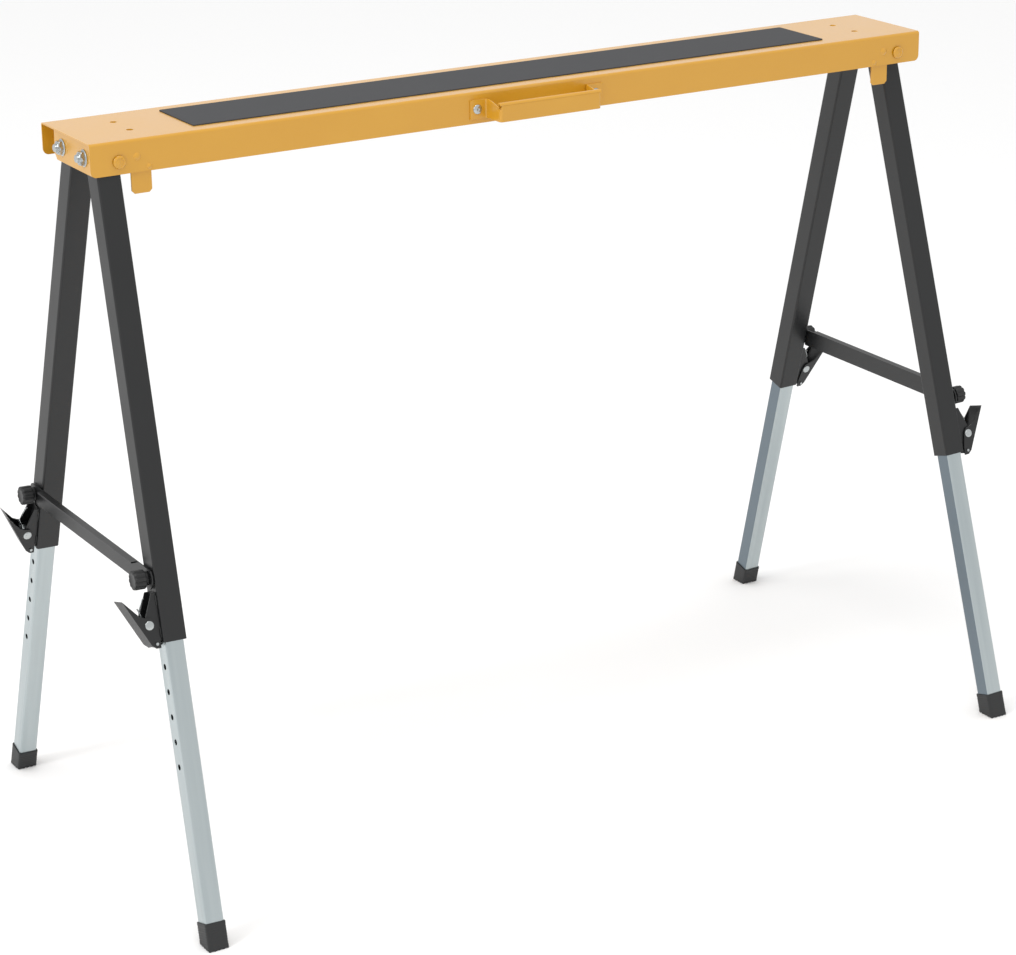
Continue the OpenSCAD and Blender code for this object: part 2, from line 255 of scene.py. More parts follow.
def revolved(
    axes: Axes,
    profile: Iterable[tuple[float, float]],
    around: int = 48,
    shape: RingShape | None = None,
) -> np.ndarray:
    """Carries a profile round the frame's z axis.

    Args:
        axes: The frame.
        profile: Radius and height of each ring, in millimetres.
        around: Points on each ring.
        shape: Changes radius and height by the angle, such as for a thread or flutes.

    Returns:
        The rings, of shape (rings, around, 3), in metres.
    """
    rows = np.asarray(list(profile), float)
    angle = turn(around)[None, :]
    r = np.broadcast_to(rows[:, :1], (len(rows), around)).copy()
    h = np.broadcast_to(rows[:, 1:], (len(rows), around)).copy()
    if shape:
        r, h = shape(r, h, np.broadcast_to(angle, r.shape))
    return axes.place(np.stack([r * np.cos(angle), r * np.sin(angle), h], -1))


def swept(axes: Axes, path: np.ndarray, radius: float, around: int = 12) -> np.ndarray:
    """Carries a circle along a path, square to it, with one side held near the frame's y.

    Args:
        axes: The frame.
        path: Points of the centreline, of shape (n, 3), in millimetres.
        radius: The circle's radius in millimetres.
        around: Points on each circle.

    Returns:
        The rings in metres.
    """
    ahead = np.gradient(path, axis=0)
    ahead /= np.linalg.norm(ahead, axis=1, keepdims=True)
    side = np.cross(ahead, [0.0, 1.0, 0.0])
    side /= np.linalg.norm(side, axis=1, keepdims=True)
    over = np.cross(ahead, side)
    a = turn(around)[None, :, None]
    return axes.place(path[:, None] + radius * (np.cos(a) * side[:, None] + np.sin(a) * over[:, None]))


def rounded_square(width: float, corner: float, around: int = 64) -> np.ndarray:
    """Works out a square with round corners as a superellipse of matching corner.

    Args:
        width: Width across the flats in millimetres.
        corner: Corner radius in millimetres.
        around: Number of points.

    Returns:
        Points of shape (around, 2): the unit direction raised so that the corner comes where a radius puts it.
    """
    a = turn(around) + np.pi / around
    reach = (width / 2 - corner * (1 - math.sqrt(0.5))) / (width / 2)
    power = math.log(0.5) / math.log(reach)
    c, s = np.cos(a), np.sin(a)
    scale = (np.abs(c) ** power + np.abs(s) ** power) ** (-1 / power)
    return width / 2 * np.stack([c * scale, s * scale], -1)


def rounded_path(corners: np.ndarray, radius: float, steps: int) -> np.ndarray:
    """Replaces each inner corner of a polyline with an arc.

    Args:
        corners: The polyline's points, of shape (n, 2).
        radius: The arcs' radius, in the same units.
        steps: Points on each arc.

    Returns:
        The rounded line's points.
    """
    out = [corners[:1]]
    for before, here, after in zip(corners[:-2], corners[1:-1], corners[2:]):
        a, b = unit(before - here), unit(after - here)
        half = math.acos(float(np.clip(a @ b, -1, 1))) / 2
        centre = here + unit(a + b) * radius / math.sin(half)
        start = here + a * radius / math.tan(half) - centre
        stop = here + b * radius / math.tan(half) - centre
        t = np.linspace(0, 1, steps)[:, None]
        sweep = math.pi - 2 * half
        out.append(centre + (np.sin((1 - t) * sweep) * start + np.sin(t * sweep) * stop) / math.sin(sweep))
    out.append(corners[-1:])
    return np.vstack(out)


# ---- pieces ----


def put(
    name: str,
    mesh: bpy.types.Mesh,
    material: bpy.types.Material,
    nodes: Iterable[str] = (),
    body: str | None = None,
) -> bpy.types.Object:
    """Adds a finished piece to the trestle.

    Args:
        name: The piece's name.
        mesh: Its mesh, in the row's frame.
        material: Its finish.
        nodes: The CAD nodes that it stands for.
        body: The body that it rides on, or the first node's.

    Returns:
        The piece.
    """
    nodes = list(nodes)
    piece = bpy.data.objects.new(name, mesh)
    bpy.context.scene.collection.objects.link(piece)
    mesh.materials.clear()
    mesh.materials.append(material)
    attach(piece, body or frame["nodes"][nodes[0]]["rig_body"])
    if nodes:
        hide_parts(*nodes)
    log.info("%s: %d faces", name, len(mesh.polygons))
    return piece


def dress(node: str, material: bpy.types.Material) -> None:
    """Gives a CAD node that stays as it is its finish."""
    for held in frame["nodes"][node].material_slots:
        held.material = material


def eased(name: str, source: bpy.types.Mesh, width: float, segments: int = 2) -> bpy.types.Mesh:
    """Rounds the sharp edges of a mesh by a small bevel.

    Args:
        name: The new mesh's name.
        source: The mesh whose edges are rounded. It isn't changed.
        width: The bevel's width in millimetres.
        segments: Faces across the bevel.

    Returns:
        The new mesh.
    """
    form = bmesh.new()
    form.from_mesh(source)
    bmesh.ops.remove_doubles(form, verts=form.verts, dist=1e-6)
    bmesh.ops.dissolve_limit(form, angle_limit=math.radians(0.5), verts=form.verts, edges=form.edges)
    work = bpy.data.meshes.new(name + "_work")
    form.to_mesh(work)
    form.free()
    work.shade_smooth()
    holder = bpy.data.objects.new(name + "_work", work)
    bpy.context.scene.collection.objects.link(holder)
    bevel = holder.modifiers.new("edge", "BEVEL")
    bevel.width = width * MM
    bevel.segments = segments
    bevel.limit_method = "ANGLE"
    bevel.angle_limit = math.radians(40)
    level = holder.modifiers.new("level", "WEIGHTED_NORMAL")
    level.weight = 100
    made = bpy.data.meshes.new_from_object(holder.evaluated_get(bpy.context.evaluated_depsgraph_get()))
    made.name = name
    bpy.data.objects.remove(holder)
    bpy.data.meshes.remove(work)
    return made


def press(node: str, name: str, material: bpy.types.Material, width: float = 0.35) -> None:
    """Stands a copy of a CAD node with eased edges and level faces in its place.

    Args:
        node: The CAD node.
        name: The piece's name.
        material: Its finish.
        width: The bevel's width in millimetres.
    """
    put(name, eased(name, frame["nodes"][node].data, width), material, [node])


# ---- finishes ----


def linear(hex_colour: str) -> tuple[float, float, float, float]:
    """Turns an sRGB hex colour into the linear one that shaders take.

    Args:
        hex_colour: Such as "#e8a33a".

    Returns:
        Red, green, blue and alpha.
    """
    srgb = [int(hex_colour[i : i + 2], 16) / 255 for i in (1, 3, 5)]
    low_end, slope, offset, gamma = 0.04045, 12.92, 0.055, 2.4
    rgb = [c / slope if c <= low_end else ((c + offset) / (1 + offset)) ** gamma for c in srgb]
    return (*rgb, 1.0)


def add(tree: bpy.types.NodeTree, kind: str, settings: dict | None = None, links: dict | None = None) -> bpy.types.Node:
    """Adds a node with its settings and links.

    Args:
        tree: The node tree.
        kind: The node's type name.
        settings: Attributes of the node, or values of its input sockets.
        links: Output sockets to join to its input sockets.

    Returns:
        The node.
    """
    made = tree.nodes.new(kind)
    for key, value in (settings or {}).items():
        if key in made.inputs:
            made.inputs[key].default_value = value
        else:
            setattr(made, key, value)
    for key, output in (links or {}).items():
        tree.links.new(output, made.inputs[key])
    return made


@dataclass(frozen=True)
class Finish:
    """What every finish has: a base colour, a second colour that it drifts to, and a fine surface relief."""

    name: str
    colour: str
    drift: str
    roughness: float
    grain_mm: float
    relief_mm: float
    patch_mm: float = 60.0
    metallic: float = 0.0
    coat: float = 0.0
    coat_roughness: float = 0.2
    rough_spread: float = 0.06
    origin: tuple[float, float, float] = (0.0, 0.0, 0.0)
    lean: tuple[float, float, float] = (0.0, 0.0, 0.0)
    drawn: float = 1.0
    # A painted dark reflection: this colour is laid on the face beyond the next distance on the local x axis.
    painted_reflection: str = ""
    painted_reflection_mm: float = 9.7

    def build(self) -> bpy.types.Material:
        """Makes the material.

        Returns:
            A material whose colour and roughness drift over patches, and whose relief is a noise of the grain's
            real size. Both noises are drawn out along the local z axis. With a painted reflection colour, the face
            that lies beyond the given distance on the local x axis takes that colour: a painted dark reflection.
        """
        made = bpy.data.materials.new(self.name)
        made.use_nodes = True
        tree = made.node_tree
        tree.nodes.clear()
        place = add(tree, "ShaderNodeTexCoord")
        held = add(
            tree, "ShaderNodeMapping",
            {"vector_type": "TEXTURE", "Location": self.origin, "Rotation": self.lean, "Scale": (1, 1, self.drawn)},
            {"Vector": place.outputs["Object"]},
        )
        patch = add(
            tree, "ShaderNodeTexNoise",
            {"Scale": 1 / (self.patch_mm * MM), "Detail": 3.0}, {"Vector": held.outputs["Vector"]},
        )
        grain = add(
            tree, "ShaderNodeTexNoise",
            {"Scale": 1 / (self.grain_mm * MM), "Detail": 2.0}, {"Vector": held.outputs["Vector"]},
        )
        spread = add(
            tree, "ShaderNodeMapRange",
            {"To Min": self.roughness - self.rough_spread, "To Max": self.roughness + self.rough_spread},
            {"Value": patch.outputs["Fac"]},
        )
        tint = add(tree, "ShaderNodeMixRGB", {"Color1": linear(self.colour), "Color2": linear(self.drift)},
                   {"Fac": patch.outputs["Fac"]})
        # Painted dark reflection: the face beyond the set distance on the local x axis is coloured darker.
        if self.painted_reflection:
            local = add(tree, "ShaderNodeSeparateXYZ", None, {"Vector": held.outputs["Vector"]})
            beyond = add(tree, "ShaderNodeMath", {"operation": "GREATER_THAN"}, {"Value": local.outputs["X"]})
            beyond.inputs[1].default_value = self.painted_reflection_mm * MM
            tint = add(tree, "ShaderNodeMixRGB", {"Color2": linear(self.painted_reflection)},
                       {"Fac": beyond.outputs["Value"], "Color1": tint.outputs["Color"]})
        relief = add(
            tree, "ShaderNodeBump",
            {"Strength": 1.0, "Distance": self.relief_mm * MM}, {"Height": grain.outputs["Fac"]},
        )
        shader = add(
            tree, "ShaderNodeBsdfPrincipled",
            {"Metallic": self.metallic, "Coat Weight": self.coat, "Coat Roughness": self.coat_roughness},
            {
                "Base Color": tint.outputs["Color"],
                "Roughness": spread.outputs["Result"],
                "Normal": relief.outputs["Normal"],
            },
        )
        add(tree, "ShaderNodeOutputMaterial", None, {"Surface": shader.outputs["BSDF"]})
        return made


# Polyester powder coat on folded steel: a clear gloss over the fine orange peel of the cured powder.
YELLOW_COAT = Finish("yellow_powder_coat", "#cb921c", "#d19a24", 0.34, grain_mm=1.6, relief_mm=0.012, coat=0.65)
# The same process in satin black on the tubes and pressings: dark, with a broad dull sheen.
BLACK_COAT = Finish("black_satin_powder_coat", "#121314", "#18191a", 0.4, grain_mm=1.2, relief_mm=0.014)
# Calendered rubber sheet: matt dark grey with a fine leathery grain.
MAT_RUBBER = Finish("calendered_rubber_sheet", "#2f3033", "#37383b", 0.72, grain_mm=1.1, relief_mm=0.06)
# Moulded rubber of the shoes: blacker and a little smoother than the mat.
SHOE_RUBBER = Finish("moulded_black_rubber", "#191a1b", "#222324", 0.5, grain_mm=0.9, relief_mm=0.03)
# Injection-moulded polyamide of the knobs, with the fine spark texture of its mould.
KNOB_PLASTIC = Finish("moulded_black_polyamide", "#141516", "#1b1c1d", 0.45, grain_mm=0.7, relief_mm=0.02)
# Bright zinc plate on small fasteners: a blue-white metal with a slightly cloudy gloss.
ZINC_SMALL = Finish(
    "bright_zinc_fasteners", "#c3c7c7", "#a8adae", 0.28, grain_mm=1.5, relief_mm=0.004,
    metallic=1.0, patch_mm=6.0,
)
# Zinc plate on the drawn tubes: blue-white, with faint streaks along the tube. The third colour is a painted dark
# reflection, laid on the tube's inner face.
TUBE_COLOUR, TUBE_DRIFT, TUBE_DARK_REFLECTION = "#bfc7c8", "#a6b0b3", "#727d85"


def tube_zinc(leg: str) -> bpy.types.Material:
    """Makes the zinc plate of one lower tube, whose noises are drawn out twenty-five times along the tube.

    Args:
        leg: The leg's name, whose direction the streaks follow.

    Returns:
        The material, with its inner face painted darker as a painted dark reflection.
    """
    axes = leg_axes(leg)
    turned = Matrix(np.stack([axes.x, axes.y, axes.z], -1).tolist()).to_euler()
    return Finish(
        f"drawn_zinc_tube_{leg}", TUBE_COLOUR, TUBE_DRIFT, 0.3, grain_mm=1.4, relief_mm=0.006, metallic=1.0,
        # The darker colour is a painted dark reflection on the tube's inner face.
        patch_mm=9.0, rough_spread=0.07, origin=tuple(axes.origin), lean=tuple(turned), drawn=25.0, painted_reflection=TUBE_DARK_REFLECTION,
    ).build()


@dataclass
class Finishes:
    """The materials, built once and shared."""

    yellow: bpy.types.Material = field(default_factory=YELLOW_COAT.build)
    black: bpy.types.Material = field(default_factory=BLACK_COAT.build)
    mat: bpy.types.Material = field(default_factory=MAT_RUBBER.build)
    shoe: bpy.types.Material = field(default_factory=SHOE_RUBBER.build)
    knob: bpy.types.Material = field(default_factory=KNOB_PLASTIC.build)
    zinc: bpy.types.Material = field(default_factory=ZINC_SMALL.build)


# ---- rivet, nut and bolt shapes ----


def dome_profile(radius: float, height: float, crater: float = 0.0, steps: int = 14) -> list[tuple[float, float]]:
    """Works out a rivet head's profile from its rim to its middle.

    Args:
        radius: The head's radius in millimetres.
        height: Its height.
        crater: Radius of the hollow in its middle, or 0 for a plain dome.
        steps: Rings from rim to middle.

    Returns:
        Radius and height of each ring: a quarter of an ellipse, less a cosine hollow over the crater.
    """
    a = np.linspace(0.0, 0.5 * np.pi, steps)
    r = radius * np.cos(a) + 0.02
    h = height * np.sin(a)
    if crater:
        r = np.concatenate([r, np.linspace(crater * 1.3, 0.05, steps)])
        r = np.sort(np.unique(r.round(4)))[::-1]
        h = height * np.sqrt(np.clip(1 - (r / (radius + 0.02)) ** 2, 0, 1))
        h = h - 0.75 * height * 0.5 * (1 + np.cos(np.pi * np.clip(r / crater, 0, 1)))
    return list(zip(r.tolist(), h.tolist()))


def swaged(radius: float, depth: float) -> RingShape:
    """Makes the shape of a head closed by an orbiting tool: a leaning hollow with a raised lip.

    Args:
        radius: Where the lip runs, in millimetres.
        depth: Depth of the hollow.

    Returns:
        A function for revolved: the height falls inside the lip, by more on one side than on the other.
    """

    def shape(r: np.ndarray, h: np.ndarray, angle: np.ndarray) -> tuple[np.ndarray, np.ndarray]:
        """Lowers the middle of the head by a smooth step that leans with the angle.

        Args:
            r: Radius of each ring point in millimetres.
            h: Its height.
            angle: Its angle in radians.

        Returns:
            The radius and height after the change.
        """
        inside = np.clip((radius - r) / (0.16 * radius), 0, 1)
        lowered = inside * inside * (3 - 2 * inside) * depth * (0.62 + 0.38 * np.cos(angle - 0.6))
        return r, h - np.where(h > 0, lowered, 0)

    return shape


def threaded(pitch: float, depth: float, low: float, high: float) -> RingShape:
    """Makes the shape of a screw thread between two heights.

    Args:
        pitch: Distance between turns in millimetres.
        depth: Depth of the groove.
        low: Where the thread starts.
        high: Where it ends.

    Returns:
        A function for revolved: the radius falls by a triangle wave of the height less the angle's share of a turn.
    """

    def shape(r: np.ndarray, h: np.ndarray, angle: np.ndarray) -> tuple[np.ndarray, np.ndarray]:
        """Cuts the groove into the shank.

        Args:
            r: Radius of each ring point in millimetres.
            h: Its height.
            angle: Its angle in radians.

        Returns:
            The radius and height after the change.
        """
        phase = np.mod(h / pitch - angle / (2 * np.pi), 1.0)
        groove = depth * (1 - np.abs(2 * phase - 1))
        return r - np.where((h >= low) & (h <= high), groove, 0), h

    return shape


def hexagonal(flats: float, low: float, high: float, cone: float) -> RingShape:
    """Makes the shape of a hexagon nut between two heights, with its corners turned down at the top.

    Args:
        flats: Width across flats in millimetres.
        low: Height of the hexagon's foot.
        high: Height of its top.
        cone: How far the chamfer comes down at the corners.

    Returns:
        A function for revolved: the radius is the least of the hexagon's and the chamfer cone's.
    """

    def shape(r: np.ndarray, h: np.ndarray, angle: np.ndarray) -> tuple[np.ndarray, np.ndarray]:
        """Replaces the radius between the two heights by the hexagon's.

        Args:
            r: Radius of each ring point in millimetres.
            h: Its height.
            angle: Its angle in radians.

        Returns:
            The radius and height after the change.
        """
        sector = np.mod(angle, np.pi / 3) - np.pi / 6
        hexagon = flats / 2 / np.cos(sector)
        chamfer = flats / 2 + (high - h) / cone * (flats / 2 / math.cos(math.pi / 6) - flats / 2) + 0.05
        return np.where((h > low) & (h <= high) & (r > 0.45 * flats), np.minimum(hexagon, chamfer), r), h

    return shape


# ---- sub-assemblies ----


@dataclass
class BeamLooks:
    """The channel beam with its mat and the heads along its flanges. Sizes are in millimetres."""

    finishes: Finishes
    mat_edge: float = 0.5
    mat_corner: float = 2.0
    pin_head: float = 6.5
    pin_rise: float = 2.2
    lip: float = 4.6
    lip_depth: float = 1.0
    # Heights are from the flange's outer face. The long pin's shoulder runs from the flange to the bracket's far ear.
    short_pin: Profile = ((3.0, -3.4), (3.0, -1.7), (3.0, -0.02))
    long_pin: Profile = ((3.0, -28.0), (3.0, -26.1), (5.0, -26.1), (5.0, -1.55), (3.0, -1.55), (3.0, -0.02))

    def build(self) -> None:
        """Dresses the beam, and builds the mat and the fold pins."""
        press("beam", "channel_beam", self.finishes.yellow, width=0.3)
        self.mat()
        for end in ENDS:
            dress(f"{end}_lock_rivets", self.finishes.yellow)
            self.fold_pins(end)
            for side in ("front", "back"):
                press(f"{end}_{side}_lock_plate", f"{end}_{side}_lock_pressing", self.finishes.yellow)

    def mat(self) -> None:
        """Builds the mat: rings of its outline that step up its side and roll in over its upper edge."""
        low, high = (np.array(c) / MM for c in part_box("top_mat"))
        middle, half = (low + high) / 2, (high - low) / 2
        thick, edge = high[2] - low[2], self.mat_edge
        a = np.linspace(0, np.pi / 2, 5)
        steps = [(0.0, 0.0), *((edge * (1 - math.cos(t)), thick - edge * (1 - math.sin(t))) for t in a)]
        steps += [(edge + k, thick) for k in (1.0, 10.0)]
        arc = np.linspace(0, np.pi / 2, 6)
        rings = []
        for inset, height in steps:
            corner = max(self.mat_corner - inset, 0.2)
            reach = half[:2] - inset - corner
            quarters = [
                np.stack([sx * reach[0] + corner * np.cos(arc + q), sy * reach[1] + corner * np.sin(arc + q)], -1)
                for q, sx, sy in ((0, 1, 1), (np.pi / 2, -1, 1), (np.pi, -1, -1), (1.5 * np.pi, 1, -1))
            ]
            outline = np.vstack(quarters)
            rings.append(np.column_stack([outline, np.full(len(outline), height)]))
        base = Axes(np.array([*middle[:2], low[2]]) * MM, *np.eye(3))
        mesh = Skin().loft(base.place(np.array(rings))).mesh("rubber_mat")
        put("rubber_mat", mesh, self.finishes.mat, ["top_mat"])

    def fold_pins(self, end: str) -> None:
        """Builds an end's fold pins: shanks of the CAD's diameters with heads closed by an orbiting tool.

        Args:
            end: The end's name.
        """
        pivot = joint(f"{end}_fold")["pos_m"]
        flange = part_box("beam")[1][1]
        short_side = -1 if end == "left" else 1
        head = dome_profile(self.pin_head, self.pin_rise, steps=26)
        skin = Skin()
        for side in (-1, 1):
            axes = along([pivot[0], side * flange, pivot[2]], [0, side, 0], [1, 0, 0])
            shank = self.short_pin if side == short_side else self.long_pin
            profile = [*shank, (self.pin_head, 0.0), *head]
            skin.loft(revolved(axes, profile, around=64, shape=swaged(self.lip, self.lip_depth)))
        node = f"{end}_fold_pins"
        put(f"{end}_fold_pin_rivets", skin.mesh(node), self.finishes.yellow, [node])


@dataclass
class HandleLooks:
    """The carrying handle of bent strap with a rolled grip, and its two rivets. Sizes are in millimetres."""

    finishes: Finishes
    strap: float = 1.5
    bend: float = 2.6
    curl: float = 3.0
    curl_turn: float = 1.45 * math.pi
    ear: float = 19.0
    arm_drop: float = 7.5
    rivet_head: float = 5.0
    rivet_rise: float = 1.8
    rivet_inset: float = 8.5
    rivet_crater: float = 1.7
    rivet_shank: Profile = ((2.5, -3.0), (2.5, 0.0))

    def build(self) -> None:
        """Builds the handle and its rivets."""
        low, high = (np.array(c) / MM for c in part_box("handle"))
        ear_y = high[1] - self.strap / 2
        grip_y = low[1] + self.strap / 2
        arm_x = high[0] - self.ear - self.strap / 2
        corners = np.array([[low[0], ear_y], [-arm_x, ear_y], [-arm_x, grip_y],
                            [arm_x, grip_y], [arm_x, ear_y], [high[0], ear_y]])
        line = self.denser(rounded_path(corners, self.bend, 7))
        ahead = np.gradient(line, axis=0)
        ahead /= np.linalg.norm(ahead, axis=1, keepdims=True)
        across = np.stack([-ahead[:, 1], ahead[:, 0]], -1)
        top = self.top_edge(line, high[2], ear_y, grip_y)
        share = np.linspace(0, 1, 4)[None, :]
        heights = low[2] + (top[:, None] - low[2]) * share
        faces = []
        for side in (0.5, -0.5):
            plan = line + across * side * self.strap
            wide = np.broadcast_to(plan[:, None, :], (len(line), 4, 2))
            faces.append(np.concatenate([wide, heights[..., None]], -1) * MM)
        skin = Skin().slab(*faces)
        self.roll(skin, arm_x + self.strap / 2, low[1], high[2])
        mesh = eased("carrying_handle", skin.mesh("handle_raw"), width=0.3)
        put("carrying_handle", mesh, self.finishes.yellow, ["handle"])
        self.rivets(low, high)

    def denser(self, line: np.ndarray) -> np.ndarray:
        """Adds points on the long straights, so that the top edge can slope along them.

        Args:
            line: The strap's centreline seen from above, in millimetres.

        Returns:
            The same line with points at most 8 mm apart.
        """
        spacing = 4
        parts = []
        for a, b in zip(line[:-1], line[1:]):
            count = max(int(np.linalg.norm(b - a) // spacing), 1)
            parts.append(a + (b - a) * np.arange(count)[:, None] / count)
        return np.vstack([*parts, line[-1:]])

    def top_edge(self, line: np.ndarray, high: float, ear_y: float, grip_y: float) -> np.ndarray:
        """Works out the height of the strap's upper edge.

        Args:
            line: The strap's centreline seen from above.
            high: The handle's highest point.
            ear_y: Where the ears lie.
            grip_y: Where the grip lies.

        Returns:
            Level over the ears, falling as a square along the arms, and at the curl's middle over the grip.
        """
        out = np.clip((ear_y - line[:, 1]) / (ear_y - grip_y), 0, 1)
        arm = high - self.arm_drop * out**2
        return np.where(out > 0.985, high - self.curl, arm)

    def roll(self, skin: Skin, reach: float, front: float, high: float) -> None:
        """Adds the grip's rolled upper edge: an arc of strap carried along the grip.

        Args:
            skin: The handle's skin.
            reach: Half the roll's length.
            front: The grip's front face.
            high: The roll's highest point.
        """
        angle = math.pi - np.linspace(0, self.curl_turn, 22)[None, :]
        x = np.linspace(-reach, reach, 24)[:, None]
        faces = []
        for r in (self.curl, self.curl - self.strap):
            y = front + self.curl + r * np.cos(angle)
            z = high - self.curl + r * np.sin(angle)
            faces.append(np.stack(np.broadcast_arrays(x, y, z), -1) * MM)
        skin.slab(*faces)

    def rivets(self, low: np.ndarray, high: np.ndarray) -> None:
        """Builds the two blind rivets, whose hollow middles look dark.

        Args:
            low: The handle's lowest corner in millimetres.
            high: Its highest.
        """
        skin = Skin()
        for x in (low[0] + self.rivet_inset, high[0] - self.rivet_inset):
            seat = [x * MM, (high[1] - self.strap) * MM, (low[2] + high[2]) / 2 * MM]
            head = dome_profile(self.rivet_head, self.rivet_rise, crater=self.rivet_crater)
            profile = [*self.rivet_shank, (self.rivet_head, 0.0), *head]
            skin.loft(revolved(along(seat, [0, -1, 0], [1, 0, 0]), profile))
        put("handle_blind_rivets", skin.mesh("handle_rivets"), self.finishes.zinc, ["handle_rivets"])


@dataclass
class EndLooks:
    """One end's bracket, bolts, nuts and brace. Sizes are in millimetres."""

    finishes: Finishes
    end: str
    seat: float = 18.0
    tip: float = 27.0
    bolt: float = 4.0
    pitch: float = 1.25
    thread_depth: float = 0.5
    # Heights are from the leg's pivot. The head ends just off the tube's inboard face.
    bolt_head: Profile = ((7.0, -15.3), (7.7, -15.0), (8.0, -14.4), (8.0, -12.8))
    flats: float = 13.0
    hexagon_foot: float = 1.5
    hexagon_top: float = 5.4
    hexagon_cone: float = 1.3
    nut_flange: Profile = ((8.2, 0.0), (8.5, 0.3), (8.5, 0.8), (7.6, 1.5))
    nut_collar: Profile = ((5.4, 5.42), (5.3, 6.1), (4.9, 6.5))

    def build(self) -> None:
        """Builds the bracket and the brace with eased edges, and the bolts and nuts."""
        for part, material, slot in (
            ("fold_bracket", self.finishes.yellow, Slot.YELLOW),
            ("brace", self.finishes.black, Slot.BLACK),
        ):
            press(f"{self.end}_{part}", f"{self.end}_{part}_pressing", material)
        bolts, nuts = Skin(), Skin()
        for leg in (name for name in LEGS if name.startswith(self.end)):
            out = joint(f"{leg}_knob_turn")["axis"]
            axes = along(joint(f"{leg}_spread")["pos_m"], out, [0, 1, 0])
            self.add_bolt(bolts, axes)
            self.add_nut(nuts, axes.moved(z=self.seat))
        for skin, part, name in ((bolts, "spread_bolts", "hinge_bolts"), (nuts, "spread_nuts", "flanged_lock_nuts")):
            mesh = skin.mesh(f"{self.end}_{part}", sharp_deg=30)
            put(f"{self.end}_{name}", mesh, self.finishes.zinc, [f"{self.end}_{part}"])

    def add_bolt(self, skin: Skin, axes: Axes) -> None:
        """Adds a bolt: a low round head on the tube's inboard side, a plain shank and a threaded end.

        Args:
            skin: The bolts' skin.
            axes: A frame on the leg's pivot with z outward.
        """
        plain = [(self.bolt, self.bolt_head[-1][1]), (self.bolt, self.seat)]
        first, last = self.seat + 0.1, self.tip - 0.6
        thread = [(self.bolt, h) for h in np.arange(first, last, self.pitch / 8)]
        chamfer = [(self.bolt - 0.2, self.tip - 0.5), (self.bolt - 0.9, self.tip)]
        shape = threaded(self.pitch, self.thread_depth, first, last)
        skin.loft(revolved(axes, [*self.bolt_head, *plain, *thread, *chamfer], around=40, shape=shape))

    def add_nut(self, skin: Skin, axes: Axes) -> None:
        """Adds a flanged lock nut: a coned flange, a chamfered hexagon and a crimped collar.

        Args:
            skin: The nuts' skin.
            axes: A frame on the bracket's face with z outward.
        """
        bore, foot, top = self.bolt + 0.02, self.hexagon_foot, self.hexagon_top
        marked = [(0.54 * self.flats, h) for h in np.linspace(foot + 0.01, top, 9)]
        through = [(bore, self.nut_collar[-1][1]), (bore, 0.01)]
        rings = [(bore, 0.0), *self.nut_flange, *marked, *self.nut_collar, *through]
        shape = hexagonal(self.flats, foot, top, self.hexagon_cone)
        skin.loft(revolved(axes, rings, around=72, shape=shape))


